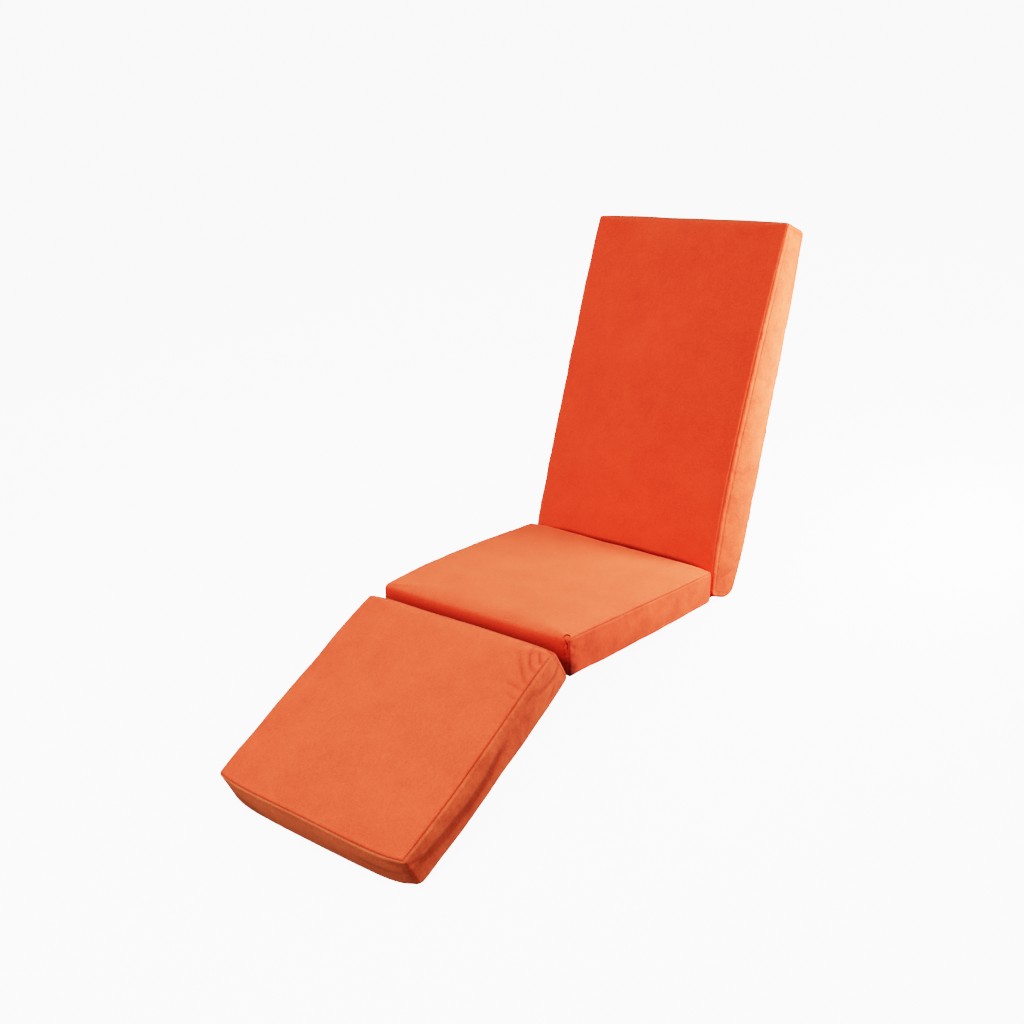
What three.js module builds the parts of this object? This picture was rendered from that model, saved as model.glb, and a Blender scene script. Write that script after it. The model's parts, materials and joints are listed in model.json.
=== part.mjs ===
// Garden chair cushion in three filled box sections: a leg section, a seat section and a tall back section.
// Each section is one filled solid. Its main panel wraps round the ends, a boxing strip closes each side,
// and two thin cloth webs join the sections along their lower edges.
// Millimetres, +Z up. X runs across the width, Y from the foot end to the back.
// The origin is at the middle of the floor that the cushion covers.
import * as THREE from "three";
import { mergeVertices } from "three/addons/utils/BufferGeometryUtils.js";

// Driving sizes
const WIDTH = 480;
const THICKNESS = 77;
const LEG_LENGTH = 460;
const SEAT_LENGTH = 466;
const BACK_LENGTH = 781;
const KNEE_BEND = 30; // degrees that the leg section falls away from the seat
const HIP_BEND = 71; // degrees that the back section rises from the seat
const KNEE_GAP = 2; // between the lower edges of the leg and seat sections
const HIP_SETBACK = 9; // from the seat's rear end to the lower front edge of the back section
const HIP_RISE = 10; // of that edge above the underside of the seat
const FLAT_DEPTH = 2.5; // how far the two resting edges are pressed flat by the floor

// Cloth
const CLOTH = 1.6; // thickness of a web
const CLEARANCE = 0.3; // between a web and the section that it is sewn to
const SEAM_SOFTNESS = 16; // width of the rounded strip beside a seam
const FACE_DROP = 3; // how far the face falls over that strip
const BASE_DROP = 1; // how far the underside rises over it
const END_REACH = 92; // how far along a section the bulge of its end is felt

// How square each form is: 1 is a cone, 2 a dome, more is a flat middle with full edges.
const CROWN_ACROSS = 2.5;
const CROWN_ALONG = 4;
const BULGE_ACROSS = 7;
const SWELL_FULLNESS = 0.7; // of the boxing from seam to seam, less is fuller

// Mesh steps
const ROWS_PER_METRE = 44; // along the length of a section, away from its corners
const END_ROWS = 2; // down a side or an end, away from its corners
const NEAR_CORNER = [3.5, 8, 15, 25]; // from the middle of a corner, along the profile
const ACROSS = [0, 0.13, 0.27, 0.41, 0.54, 0.66, 0.77, 0.86, 0.93, 0.97, 0.985, 1];

const half = WIDTH / 2;
const radians = THREE.MathUtils.degToRad;

// Each row is a place along the section, from its start to its end as a share of the length.
// left and right are how far out the seams of the face lie, leftFace and rightFace their height.
// baseIn is how far the lower seams lie inside the width.
// swell is how far the boxing stands out between its seams.
const LEG_SHAPE = [
  { at: 0.0, left: 241, right: 242, leftFace: 77, rightFace: 78, baseIn: 0, swell: 4 },
  { at: 0.14, left: 239, right: 242, leftFace: 79, rightFace: 77, baseIn: -3, swell: 7 },
  { at: 0.3, left: 238, right: 241, leftFace: 80, rightFace: 75, baseIn: -4, swell: 9 },
  { at: 0.6, left: 238, right: 239, leftFace: 80, rightFace: 76, baseIn: -3, swell: 7 },
  { at: 0.92, left: 239, right: 241, leftFace: 79, rightFace: 81, baseIn: 0, swell: 4 },
  { at: 1.0, left: 238, right: 239, leftFace: 77, rightFace: 77, baseIn: 3, swell: 2 },
];
const SEAT_SHAPE = [
  { at: 0.0, left: 239, right: 239, leftFace: 75, rightFace: 78, baseIn: 1, swell: 2 },
  { at: 0.3, left: 243, right: 239, leftFace: 84, rightFace: 75, baseIn: -2, swell: 4 },
  { at: 0.7, left: 245, right: 241, leftFace: 86, rightFace: 72, baseIn: -2, swell: 4 },
  { at: 1.0, left: 243, right: 241, leftFace: 84, rightFace: 70, baseIn: 1, swell: 2 },
];
const BACK_SHAPE = [
  { at: 0.0, left: 240, right: 235, leftFace: 78, rightFace: 78, baseIn: 1, swell: 5 },
  { at: 0.09, left: 243, right: 229, leftFace: 85, rightFace: 85, baseIn: -2, swell: 11 },
  { at: 0.22, left: 243, right: 225, leftFace: 86, rightFace: 87, baseIn: -3, swell: 14 },
  { at: 0.53, left: 241, right: 228, leftFace: 86, rightFace: 87, baseIn: -2, swell: 13 },
  { at: 0.85, left: 240, right: 237, leftFace: 84, rightFace: 84, baseIn: -1, swell: 8 },
  { at: 1.0, left: 241, right: 241, leftFace: 78, rightFace: 78, baseIn: 2, swell: 2 },
];

// A crease is a soft trough along a run of points on a boxing strip or an end. It runs out at its tips.
// along is millimetres from the section's start, or from its middle on an end, and up from its underside.
const CREASE_TIP = 0.05; // share of the run that the tips have lost
const LEG_SIDE_TROUGH = {
  depth: 6,
  spread: 10,
  run: [
    { along: 30, up: 50 },
    { along: 82, up: 40 },
    { along: 135, up: 33 },
    { along: 195, up: 34 },
    { along: 261, up: 42 },
    { along: 340, up: 47 },
  ],
};
const FOOT_END_CREASE = {
  depth: 4,
  spread: 9,
  run: [
    { along: -40, up: 62 },
    { along: 10, up: 40 },
    { along: 70, up: 25 },
    { along: 140, up: 20 },
    { along: 225, up: 24 },
  ],
};

// start and end are the section's two ends, face and base its upper and lower panels.
// Each corner has its radius at mid-width and at the left and right seams.
const SECTIONS = {
  leg: {
    length: LEG_LENGTH,
    shape: LEG_SHAPE,
    crown: 6,
    corners: {
      startFace: { left: 4, middle: 4, right: 4 },
      startBase: { left: 25, middle: 13, right: 12 },
      endFace: { left: 8, middle: 9, right: 10 },
      endBase: { left: 8, middle: 8, right: 8 },
    },
    startBulge: { face: 8, middle: 18, base: 18 },
    endBulge: { face: 5, middle: 5, base: 0 },
    sideTrough: LEG_SIDE_TROUGH,
    endCrease: FOOT_END_CREASE,
  },
  seat: {
    length: SEAT_LENGTH,
    shape: SEAT_SHAPE,
    crown: 7,
    corners: {
      startFace: { left: 9, middle: 19, right: 7 },
      startBase: { left: 8, middle: 8, right: 6 },
      endFace: { left: 8, middle: 12, right: 8 },
      endBase: { left: 8, middle: 8, right: 8 },
    },
    startBulge: { face: 3, middle: 3, base: 0 },
    endBulge: { face: 13, middle: 8, base: 0 },
  },
  back: {
    length: BACK_LENGTH,
    shape: BACK_SHAPE,
    crown: 7,
    corners: {
      startFace: { left: 12, middle: 12, right: 12 },
      startBase: { left: 31, middle: 31, right: 31 },
      endFace: { left: 6, middle: 10, right: 6 },
      endBase: { left: 10, middle: 14, right: 10 },
    },
    startBulge: { face: 0, middle: 0, base: 0 },
    endBulge: { face: 4, middle: 4, base: 2 },
  },
};

// Smooth value of one column of a shape table at a share of the length.
function column(table, name, at) {
  const last = table.length - 1;
  let i = 0;
  while (i < last - 1 && at > table[i + 1].at) i += 1;
  const [a, b] = [table[i], table[i + 1]];
  const slope = (p, q) => (q[name] - p[name]) / (q.at - p.at);
  const here = slope(a, b);
  const before = i > 0 ? (slope(table[i - 1], a) + here) / 2 : here;
  const after = i < last - 1 ? (here + slope(b, table[i + 2])) / 2 : here;
  const width = b.at - a.at;
  const t = THREE.MathUtils.clamp((at - a.at) / width, 0, 1);
  const t2 = t * t;
  const t3 = t2 * t;
  return (
    (2 * t3 - 3 * t2 + 1) * a[name] +
    (t3 - 2 * t2 + t) * width * before +
    (3 * t2 - 2 * t3) * b[name] +
    (t3 - t2) * width * after
  );
}

// Depth of a crease at one point: deepest on its run of points, gone at twice its spread.
function creaseDepth(crease, along, up) {
  let nearest = Infinity;
  let share = 0;
  const last = crease.run.length - 1;
  for (let i = 0; i < last; i += 1) {
    const [a, b] = [crease.run[i], crease.run[i + 1]];
    const run = new THREE.Vector2(b.along - a.along, b.up - a.up);
    const to = new THREE.Vector2(along - a.along, up - a.up);
    const t = THREE.MathUtils.clamp(to.dot(run) / run.lengthSq(), 0, 1);
    const distance = to.addScaledVector(run, -t).length();
    if (distance < nearest) {
      nearest = distance;
      share = (i + t) / last;
    }
  }
  const fade = Math.sqrt(Math.sin(Math.PI * THREE.MathUtils.lerp(CREASE_TIP, 1 - CREASE_TIP, share)));
  return crease.depth * fade * Math.exp(-((nearest / crease.spread) ** 2));
}

// A plain box point becomes a point of the filled section.
// across runs from -1 to 1, along from 0 to the length and up from 0 to the thickness.
function fill(section, across, along, up) {
  const { length, shape, crown, startBulge, endBulge } = section;
  const share = THREE.MathUtils.clamp(along / length, 0, 1);
  const rise = THREE.MathUtils.clamp(up / THICKNESS, 0, 1);
  const side = Math.abs(across);
  const right = across >= 0;

  const faceEdge = column(shape, right ? "right" : "left", share);
  const baseEdge = half - column(shape, "baseIn", share);
  const edge = THREE.MathUtils.lerp(baseEdge, faceEdge, rise);
  const x = across * edge;

  const leftFace = column(shape, "leftFace", share);
  const rightFace = column(shape, "rightFace", share);
  const face = THREE.MathUtils.lerp(leftFace, rightFace, (across + 1) / 2);
  const dome = crown * (1 - side ** CROWN_ACROSS) * (1 - Math.abs(2 * share - 1) ** CROWN_ALONG);
  const fromSeam = (1 - side) * half;
  const roll = Math.max(0, 1 - fromSeam / SEAM_SOFTNESS) ** 2;
  const z = rise * (face + dome - FACE_DROP * roll) + (1 - rise) * BASE_DROP * roll;

  const bulge = (b) => {
    const rim = rise * b.face + (1 - rise) * b.base;
    const belly = 4 * rise * (1 - rise) * (b.middle - (b.face + b.base) / 2);
    return (1 - side ** BULGE_ACROSS) * (rim + belly);
  };
  const near = (distance) => Math.max(0, 1 - distance / END_REACH) ** 2;
  let y = along - bulge(startBulge) * near(along) + bulge(endBulge) * near(length - along);

  if (section.endCrease) y += creaseDepth(section.endCrease, x, up) * near(along) ** 2;
  return new THREE.Vector3(x, y, z);
}

// Steps along one side of a profile, as shares of its length: close at the corners, even between them.
function sideSteps(length, rows) {
  const near = [0, ...NEAR_CORNER].map((d) => d / length);
  const gap = 1 - 2 * near.at(-1);
  const between = Array.from({ length: rows - 1 }, (_, i) => near.at(-1) + (gap * (i + 1)) / rows);
  return [...near, ...between, ...near.map((d) => 1 - d).reverse()];
}

const longSteps = (section) =>
  sideSteps(section.length, Math.round(((section.length - 2 * NEAR_CORNER.at(-1)) * ROWS_PER_METRE) / 1000));
const shortSteps = sideSteps(THICKNESS, END_ROWS);

// Points of one side, from the middle of one corner to the middle of the next.
// from and to are the sharp corners, fromRadius and toRadius how far each is rounded.
function sidePoints(from, to, fromRadius, toRadius, steps) {
  const run = to.clone().sub(from);
  const sideLength = run.length();
  run.normalize();
  const inwards = new THREE.Vector2(run.y, -run.x);
  const quarter = Math.PI / 4;
  const [fromArc, toArc] = [fromRadius * quarter, toRadius * quarter];
  const straight = sideLength - fromRadius - toRadius;
  const path = fromArc + straight + toArc;
  const place = (along, drop) => from.clone().addScaledVector(run, along).addScaledVector(inwards, drop);
  return steps.map((share) => {
    const d = share * path;
    if (d < fromArc) {
      const angle = quarter - d / fromRadius;
      return place(fromRadius * (1 - Math.sin(angle)), fromRadius * (1 - Math.cos(angle)));
    }
    if (d <= fromArc + straight) return place(fromRadius + d - fromArc, 0);
    const angle = (d - fromArc - straight) / toRadius;
    return place(sideLength - toRadius * (1 - Math.sin(angle)), toRadius * (1 - Math.cos(angle)));
  });
}

// The four sides of one lengthwise profile, in order: up the start, along the face, down the end, back below.
function profileSides(section, across) {
  const { length, corners } = section;
  const towardsSeam = Math.abs(across) ** 4;
  const radius = (c) => THREE.MathUtils.lerp(c.middle, across < 0 ? c.left : c.right, towardsSeam);
  const rounds = [corners.startBase, corners.startFace, corners.endFace, corners.endBase].map(radius);
  const sharp = [[0, 0], [0, THICKNESS], [length, THICKNESS], [length, 0]];
  const places = sharp.map((p) => new THREE.Vector2(...p));
  return places.map((from, i) => {
    const n = (i + 1) % places.length;
    const steps = i % 2 === 0 ? shortSteps : longSteps(section);
    return sidePoints(from, places[n], rounds[i], rounds[n], steps);
  });
}

const profile = (section, across) => profileSides(section, across).flatMap((side) => side.slice(0, -1));

// The filled section as rows of points: one closed profile for each station across the width.
const stations = [...ACROSS.slice(1).reverse().map((a) => -a), ...ACROSS];
function panelGrid(section) {
  return stations.map((across) =>
    profile(section, across).map((p) => fill(section, across, p.x, p.y)));
}

// A point of the boxing inside its seam: down from the face and along the section, as shares of the two.
function boxingPoint(section, across, sides, i, k) {
  const [start, face, end, base] = sides;
  const [u, v] = [longSteps(section)[i], shortSteps[k]];
  const sum = (a, b, shareOfA, shareOfB) => a.clone().multiplyScalar(shareOfA).addScaledVector(b, shareOfB);
  const flat = sum(face[i], base.at(-1 - i), 1 - v, v).add(sum(start.at(-1 - k), end[k], 1 - u, u));
  flat.sub(sum(face[0], face.at(-1), (1 - v) * (1 - u), (1 - v) * u));
  flat.sub(sum(base.at(-1), base[0], v * (1 - u), v * u));

  const point = fill(section, across, flat.x, flat.y);
  const share = flat.x / section.length;
  const inset = Math.min(flat.x, section.length - flat.x);
  const ends = Math.sqrt(Math.min(1, inset / (THICKNESS / 2)));
  const swell = column(section.shape, "swell", share) * Math.sin(Math.PI * v) ** SWELL_FULLNESS * ends;
  const trough = section.sideTrough && across > 0 ? creaseDepth(section.sideTrough, flat.x, flat.y) : 0;
  point.x += Math.sign(across) * (swell - trough * ends);
  return point;
}

// One closed solid: the panel that wraps the section, and the boxing on both sides.
function sectionGeometry(section, settle) {
  const points = [];
  const faces = [];
  const add = (p) => points.push(settle(p)) - 1;
  const panel = panelGrid(section).map((row) => row.map(add));
  const count = panel[0].length;
  for (let j = 0; j < panel.length - 1; j += 1) {
    for (let i = 0; i < count; i += 1) {
      const [a, b] = [panel[j], panel[j + 1]];
      const n = (i + 1) % count;
      faces.push(a[i], b[n], a[n], a[i], b[i], b[n]);
    }
  }
  const down = shortSteps.length - 1;
  const long = longSteps(section).length - 1;
  for (const [seam, across] of [[panel[0], -1], [panel.at(-1), 1]]) {
    const sides = profileSides(section, across);
    const inside = (i) =>
      shortSteps.slice(1, -1).map((_, k) => add(boxingPoint(section, across, sides, i, k + 1)));
    const columns = Array.from({ length: long + 1 }, (_, i) => {
      if (i === 0) return seam.slice(0, down + 1).reverse();
      if (i === long) return seam.slice(down + long, 2 * down + long + 1);
      return [seam[down + i], ...inside(i), seam[(count - i) % count]];
    });
    for (let i = 0; i < long; i += 1) {
      const [a, b] = across > 0 ? [columns[i + 1], columns[i]] : [columns[i], columns[i + 1]];
      for (let k = 0; k < down; k += 1) {
        faces.push(a[k], b[k], b[k + 1], a[k], b[k + 1], a[k + 1]);
      }
    }
  }
  return geometryOf(points, faces);
}

function geometryOf(points, faces) {
  const geometry = new THREE.BufferGeometry();
  const positions = points.flatMap((p) => p.toArray());
  geometry.setAttribute("position", new THREE.Float32BufferAttribute(positions, 3));
  geometry.setIndex(faces);
  return mergeVertices(geometry, 1e-4);
}

// Where each section stands in the seat's frame: the place of its start on the underside, and its slope.
const direction = (slope) => new THREE.Vector2(Math.cos(slope), Math.sin(slope));
const normal = (slope) => new THREE.Vector2(-Math.sin(slope), Math.cos(slope));
const legSlope = radians(KNEE_BEND);
const hipSlope = radians(HIP_BEND);
const kneeEdge = new THREE.Vector2(-KNEE_GAP, 0);
const hipEdge = new THREE.Vector2(SEAT_LENGTH + HIP_SETBACK, HIP_RISE);
const PLACES = {
  leg: { slope: legSlope, start: kneeEdge.addScaledVector(direction(legSlope), -LEG_LENGTH) },
  seat: { slope: 0, start: new THREE.Vector2(0, 0) },
  back: { slope: hipSlope, start: hipEdge.addScaledVector(normal(hipSlope), -THICKNESS) },
};

// A point of a section, in the seat's frame.
function inSeatFrame(name, p) {
  const { slope, start } = PLACES[name];
  const at = start.clone().addScaledVector(direction(slope), p.y).addScaledVector(normal(slope), p.z);
  return new THREE.Vector3(p.x, at.x, at.y);
}

// The cushion tips back until its foot end and the lower end of its back section rest on one floor.
const outline = Object.fromEntries(["leg", "back"].map((name) =>
  [name, panelGrid(SECTIONS[name]).flat().map((p) => inSeatFrame(name, p))]));
const heightAt = (p, tip) => p.z * Math.cos(tip) - p.y * Math.sin(tip);
const lowest = (name, tip) => Math.min(...outline[name].map((p) => heightAt(p, tip)));
function restingTip() {
  let [low, high] = [0, Math.PI / 4];
  for (let i = 0; i < 40; i += 1) {
    const middle = (low + high) / 2;
    if (lowest("leg", middle) < lowest("back", middle)) low = middle;
    else high = middle;
  }
  return (low + high) / 2;
}
const tip = restingTip();
const floor = lowest("back", tip) + FLAT_DEPTH;

// Presses a section's point up to the floor where it would pass below it.
function settleOnFloor(name) {
  const lean = PLACES[name].slope - tip;
  return (p) => {
    const below = floor - heightAt(inSeatFrame(name, p), tip);
    if (below <= 0) return p;
    return new THREE.Vector3(p.x, p.y + below * Math.sin(lean), p.z + below * Math.cos(lean));
  };
}

// A web is a strip of cloth that follows a line of points at each station across the width.
// lineAt gives the points of the side that faces the sections; the strip's thickness lies below it.
const WEB_REACH = 0.95; // a web stops short of the side seams, at this share of half the width or less
function webGeometry(lineAt) {
  const points = [];
  const faces = [];
  const rows = stations.filter((across) => Math.abs(across) < WEB_REACH).map((across) => {
    const inner = lineAt(across);
    const outer = inner.map((p, i) => {
      const before = inner[Math.max(0, i - 1)];
      const after = inner[Math.min(inner.length - 1, i + 1)];
      const run = new THREE.Vector2(after.y - before.y, after.z - before.z).normalize();
      return new THREE.Vector3(p.x, p.y + run.y * CLOTH, p.z - run.x * CLOTH);
    });
    return [...inner, ...outer.reverse()].map((p) => points.push(p) - 1);
  });
  const round = rows[0].length;
  for (let j = 0; j < rows.length - 1; j += 1) {
    for (let i = 0; i < round; i += 1) {
      const n = (i + 1) % round;
      faces.push(rows[j][i], rows[j + 1][n], rows[j][n], rows[j][i], rows[j + 1][i], rows[j + 1][n]);
    }
  }
  const [first, last] = [rows[0], rows.at(-1)];
  for (let i = 0; i < round / 2 - 1; i += 1) {
    const [a, b, c, d] = [i, i + 1, round - 2 - i, round - 1 - i];
    faces.push(first[a], first[b], first[c], first[a], first[c], first[d]);
    faces.push(last[a], last[c], last[b], last[a], last[d], last[c]);
  }
  return geometryOf(points, faces);
}

// Points a clearance below the underside of a section, at the given places along it.
function underBase(name, across, places) {
  return places.map((along) => {
    const p = fill(SECTIONS[name], across, along, 0);
    p.z -= CLEARANCE;
    return inSeatFrame(name, p);
  });
}

const KNEE_WEB_HOLD = 14; // how far the knee web runs along each section
const HIP_WEB_HOLD = 18; // how far the hip web runs along the seat's underside
const HIP_WEB_TOP = 46; // height on the end of the back section where the hip web meets it
const HIP_WEB_END = 34; // height where it stops, above the rounded corner
const HIP_WEB_SAG = 2;

function kneeLine(across) {
  const legCorner = LEG_LENGTH - SECTIONS.leg.corners.endBase.middle;
  const seatCorner = SECTIONS.seat.corners.startBase.middle;
  return [
    ...underBase("leg", across, [legCorner - KNEE_WEB_HOLD, legCorner - KNEE_WEB_HOLD / 2, legCorner]),
    ...underBase("seat", across, [seatCorner, seatCorner + KNEE_WEB_HOLD / 2, seatCorner + KNEE_WEB_HOLD]),
  ];
}

function hipLine(across) {
  const corner = SEAT_LENGTH - SECTIONS.seat.corners.endBase.middle;
  const onSeat = underBase("seat", across, [corner - HIP_WEB_HOLD, corner - HIP_WEB_HOLD / 2, corner]);
  const onBack = [HIP_WEB_TOP, (HIP_WEB_TOP + HIP_WEB_END) / 2, HIP_WEB_END].map((up) => {
    const p = fill(SECTIONS.back, across, 0, up);
    p.y -= CLEARANCE;
    return inSeatFrame("back", p);
  });
  const span = [0.25, 0.5, 0.75].map((t) => {
    const p = onSeat[2].clone().lerp(onBack[0], t);
    p.z -= HIP_WEB_SAG * Math.sin(Math.PI * t);
    return p;
  });
  return [...onSeat, ...span, ...onBack];
}

const canvas = (colour) => new THREE.MeshStandardMaterial({ color: colour, roughness: 0.85, metalness: 0 });
const cushion = new THREE.Group();

function addSection(name, colour) {
  const settle = name === "seat" ? (p) => p : settleOnFloor(name);
  const mesh = new THREE.Mesh(sectionGeometry(SECTIONS[name], settle), canvas(colour));
  mesh.name = `${name}_section`;
  mesh.position.set(0, PLACES[name].start.x, PLACES[name].start.y);
  mesh.rotation.x = PLACES[name].slope;
  cushion.add(mesh);
}

function addWeb(name, lineAt) {
  const mesh = new THREE.Mesh(webGeometry(lineAt), canvas("#b8442a"));
  mesh.name = name;
  cushion.add(mesh);
}

addSection("leg", "#e2663c");
addSection("seat", "#e0703f");
addSection("back", "#dd4326");
addWeb("knee_web", kneeLine);
addWeb("hip_web", hipLine);

// Rest on the floor, with the origin at the middle of the floor that the cushion covers.
cushion.rotation.x = -tip;
const upright = new THREE.Group();
upright.add(cushion);
upright.updateMatrixWorld(true);
const box = new THREE.Box3().setFromObject(upright, true);
cushion.position.set(-(box.min.x + box.max.x) / 2, -(box.min.y + box.max.y) / 2, -floor);

export default upright;
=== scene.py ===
"""Garden chair cushion in canvas: three filled sections, their seams and stitches, and the webs between them.

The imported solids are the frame. Each filled section is a finer copy of its solid: a cloth simulation settles
its cover, and then it gets its seams, puckers and weave. Lengths are metres, or millimetres where a name ends
in _mm.
"""

import json
import logging
import math
from dataclasses import dataclass, field
from enum import Enum

import bmesh
import bpy
import numpy as np
from mathutils import Euler, Matrix, Vector, kdtree
from mathutils.bvhtree import BVHTree

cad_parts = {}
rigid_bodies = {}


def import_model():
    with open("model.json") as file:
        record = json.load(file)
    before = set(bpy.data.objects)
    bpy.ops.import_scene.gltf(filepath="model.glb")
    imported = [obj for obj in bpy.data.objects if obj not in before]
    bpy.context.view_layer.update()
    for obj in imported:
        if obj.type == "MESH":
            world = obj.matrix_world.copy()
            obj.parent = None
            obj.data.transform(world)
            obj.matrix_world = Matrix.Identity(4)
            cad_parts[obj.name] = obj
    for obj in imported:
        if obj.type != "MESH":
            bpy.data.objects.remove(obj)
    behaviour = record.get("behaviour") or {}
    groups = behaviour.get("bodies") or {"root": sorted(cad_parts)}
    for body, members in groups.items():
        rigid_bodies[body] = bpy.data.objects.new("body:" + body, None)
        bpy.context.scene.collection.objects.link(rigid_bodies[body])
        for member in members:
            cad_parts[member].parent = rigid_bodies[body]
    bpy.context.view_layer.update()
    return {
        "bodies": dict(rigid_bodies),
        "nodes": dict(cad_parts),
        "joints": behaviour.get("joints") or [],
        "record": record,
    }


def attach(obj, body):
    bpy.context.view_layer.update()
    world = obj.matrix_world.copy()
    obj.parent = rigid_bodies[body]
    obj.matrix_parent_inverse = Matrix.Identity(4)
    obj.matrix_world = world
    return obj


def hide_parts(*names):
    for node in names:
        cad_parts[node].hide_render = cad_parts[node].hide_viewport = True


BODY = "root"
MM = 0.001

# How close the corners of loose triangles lie that are one, and which triangles make one face
MERGE = 1e-5
SHARP_ANGLE = math.radians(60)
SKEW_ANGLE = math.radians(100)

# The least share of a direction along the axis that it is said to follow
MOSTLY = 0.9
ACROSS = 0.66

# What the finishes read from a mesh
WEAVE_MAP = "weave"
# Painted shade: how much darker the canvas is drawn in seam valleys, creases, gaps between sections and on
# rounded ends
PAINTED_SHADE = "seam_depth"
# Painted sheen: how much paler and tanner the canvas is drawn on upward faces, rolled edges and side strips
PAINTED_SHEEN = "sun_fade"
STRIP = "side_strip"
# Painted shade tint: how much browner the canvas is drawn on shaded side strips and ends
SHADE_TINT = "soil"

log = logging.getLogger("cushion")


class Panel(Enum):
    """A side of a section: the two axes that a fold on it is measured along, its outward axis and sign."""

    TOP = (0, 1, 2, 1.0)
    START = (0, 2, 1, -1.0)
    LEFT = (1, 2, 0, -1.0)
    RIGHT = (1, 2, 0, 1.0)


# Meshes


def deselect_all() -> None:
    """Leaves nothing selected."""
    for piece in bpy.context.selected_objects:
        piece.select_set(False)


def make_active(piece: bpy.types.Object) -> None:
    """Selects one object alone and makes it the active one."""
    deselect_all()
    piece.select_set(True)
    bpy.context.view_layer.objects.active = piece


def points_of(mesh: bpy.types.Mesh) -> np.ndarray:
    """Returns the vertex places of a mesh, one row each."""
    points = np.empty(len(mesh.vertices) * 3)
    mesh.vertices.foreach_get("co", points)
    return points.reshape(-1, 3)


def normals_of(mesh: bpy.types.Mesh) -> np.ndarray:
    """Returns the vertex normals of a mesh, one row each."""
    normals = np.empty(len(mesh.vertices) * 3, np.float32)
    mesh.vertex_normals.foreach_get("vector", normals)
    return normals.reshape(-1, 3).astype(float)


def edges_of(mesh: bpy.types.Mesh) -> np.ndarray:
    """Returns the two vertex numbers of each edge of a mesh."""
    edges = np.empty(len(mesh.edges) * 2, np.int32)
    mesh.edges.foreach_get("vertices", edges)
    return edges.reshape(-1, 2)


def move_points(mesh: bpy.types.Mesh, points: np.ndarray) -> None:
    """Moves the vertices of a mesh.

    Args:
        mesh: The mesh.
        points: The new places, one row for each vertex.
    """
    mesh.vertices.foreach_set("co", points.astype(np.float32).ravel())
    mesh.update()


def subdivide(piece: bpy.types.Object, levels: int) -> None:
    """Applies a subdivision surface.

    Args:
        piece: The object to smooth.
        levels: How many times its faces are split.
    """
    make_active(piece)
    smooth = piece.modifiers.new("smooth", "SUBSURF")
    smooth.levels = smooth.render_levels = levels
    bpy.ops.object.modifier_apply(modifier=smooth.name)


def smoothed(values: np.ndarray, edges: np.ndarray, rounds: int) -> np.ndarray:
    """Averages a value over a mesh.

    Args:
        values: One number for each vertex.
        edges: The vertex numbers of each edge.
        rounds: How many times each vertex takes the mean of its neighbours.

    Returns:
        The smoothed numbers.
    """
    count = np.bincount(edges.ravel(), minlength=len(values))
    for _ in range(rounds):
        total = np.bincount(edges[:, 0], values[edges[:, 1]], len(values))
        total += np.bincount(edges[:, 1], values[edges[:, 0]], len(values))
        values = 0.5 * values + 0.5 * total / count
    return values


def mark_boxing(shell: bmesh.types.BMesh) -> None:
    """Marks the edges between a section's side strips and the panel that wraps it as sewn.

    Args:
        shell: The section in its own frame.
    """
    shell.normal_update()
    strips = {face for face in shell.faces if abs(face.normal.x) > 0.5}
    for face in shell.faces:
        beside = [other for edge in face.edges for other in edge.link_faces if other is not face]
        if face not in strips and sum(other in strips for other in beside) > 1:
            strips.add(face)
    for edge in shell.edges:
        edge.seam = len(strips.intersection(edge.link_faces)) == 1


def solid_copy(node: bpy.types.Object, name: str, place: Matrix, sewn: bool) -> bpy.types.Object:
    """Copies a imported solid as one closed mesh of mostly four-sided faces, in its own frame.

    Args:
        node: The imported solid, which is loose triangles.
        name: The name of the copy.
        place: Where the copy's own frame stands.
        sewn: Whether its side strips are sewn in, and their seams are to be marked.

    Returns:
        The new object.
    """
    piece = bpy.data.objects.new(name, bpy.data.meshes.new(name))
    bpy.context.scene.collection.objects.link(piece)
    shell = bmesh.new()
    shell.from_mesh(node.data)
    shell.transform(place.inverted())
    for layer in list(shell.loops.layers.uv):
        shell.loops.layers.uv.remove(layer)
    bmesh.ops.remove_doubles(shell, verts=shell.verts, dist=MERGE)
    if sewn:
        mark_boxing(shell)
    bmesh.ops.join_triangles(
        shell, faces=shell.faces, cmp_seam=True, angle_face_threshold=SHARP_ANGLE,
        angle_shape_threshold=SKEW_ANGLE,
    )
    shell.to_mesh(piece.data)
    shell.free()
    return piece


def weave_map(mesh: bpy.types.Mesh) -> None:
    """Gives a mesh in a section's own frame a weave map in metres, laid on the side that each face is on.

    Args:
        mesh: The mesh.
    """
    flat = mesh.uv_layers.new(name=WEAVE_MAP)
    points = points_of(mesh)
    count = len(mesh.polygons)
    sides = np.empty(count * 3)
    sizes = np.empty(count, np.int32)
    mesh.polygons.foreach_get("normal", sides)
    mesh.polygons.foreach_get("loop_total", sizes)
    sides = np.abs(sides.reshape(-1, 3))
    across = sides[:, 0] > ACROSS
    upward = ~across & (sides[:, 2] >= sides[:, 1])
    first = np.where(across, 1, 0)
    second = np.where(upward, 1, 2)
    corners = np.empty(len(mesh.loops), np.int32)
    mesh.loops.foreach_get("vertex_index", corners)
    places = points[corners]
    rows = np.arange(len(corners))
    coords = np.column_stack(
        (places[rows, np.repeat(first, sizes)], places[rows, np.repeat(second, sizes)])
    )
    flat.data.foreach_set("uv", coords.astype(np.float32).ravel())


# Where things stand


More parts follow.
